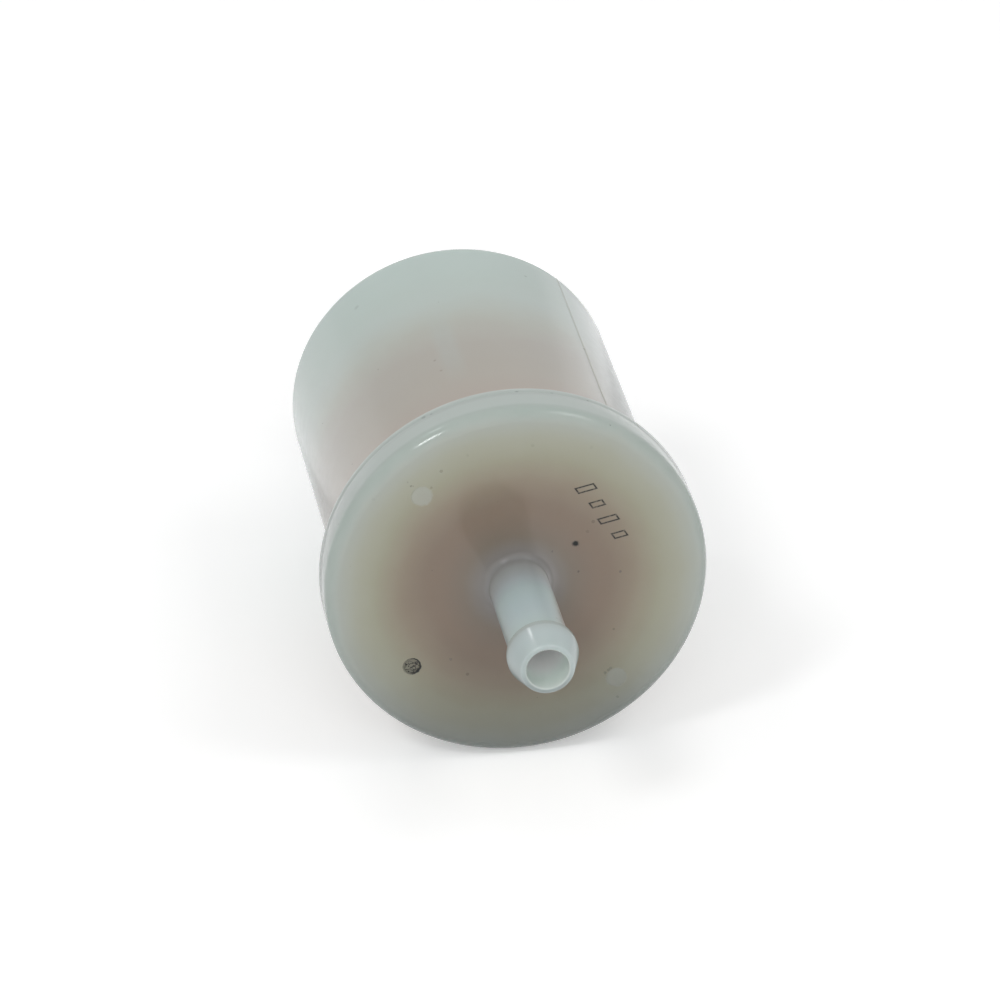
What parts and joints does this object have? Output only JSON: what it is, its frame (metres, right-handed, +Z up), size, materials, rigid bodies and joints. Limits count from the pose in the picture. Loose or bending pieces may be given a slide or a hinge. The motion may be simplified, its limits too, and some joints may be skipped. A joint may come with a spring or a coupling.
{
  "type": "inline fuel prefilter",
  "caption": "Inline fuel filter: milky nylon cup and flanged cover welded together, a barbed hose spigot at each end, pleated paper element inside.",
  "frame": {"origin": "on the filter's axis, at the middle of the plain round stretch of the body that a bracket or clip holds", "axes": "+Y along the axis from the outlet and its cover towards the inlet, +Z up, +X to the right as seen from the outlet"},
  "size_m": [0.051, 0.1038, 0.051],
  "materials": {
    "nylon": "milky translucent nylon, satin",
    "paper": "resin-treated brown-pink filter paper",
    "cap_plastic": "natural white moulded plastic",
    "adhesive": "set amber adhesive",
    "seal_rubber": "black nitrile rubber"
  },
  "bodies": {
    "root": {"cup": "nylon", "cover": "nylon", "filter_paper": "paper", "pleat_seam": "adhesive", "upper_end_cap": "cap_plastic", "lower_end_cap": "cap_plastic", "upper_adhesive": "adhesive", "lower_adhesive": "adhesive", "support_core": "cap_plastic", "neck_seal": "seal_rubber"}
  },
  "joints": []
}
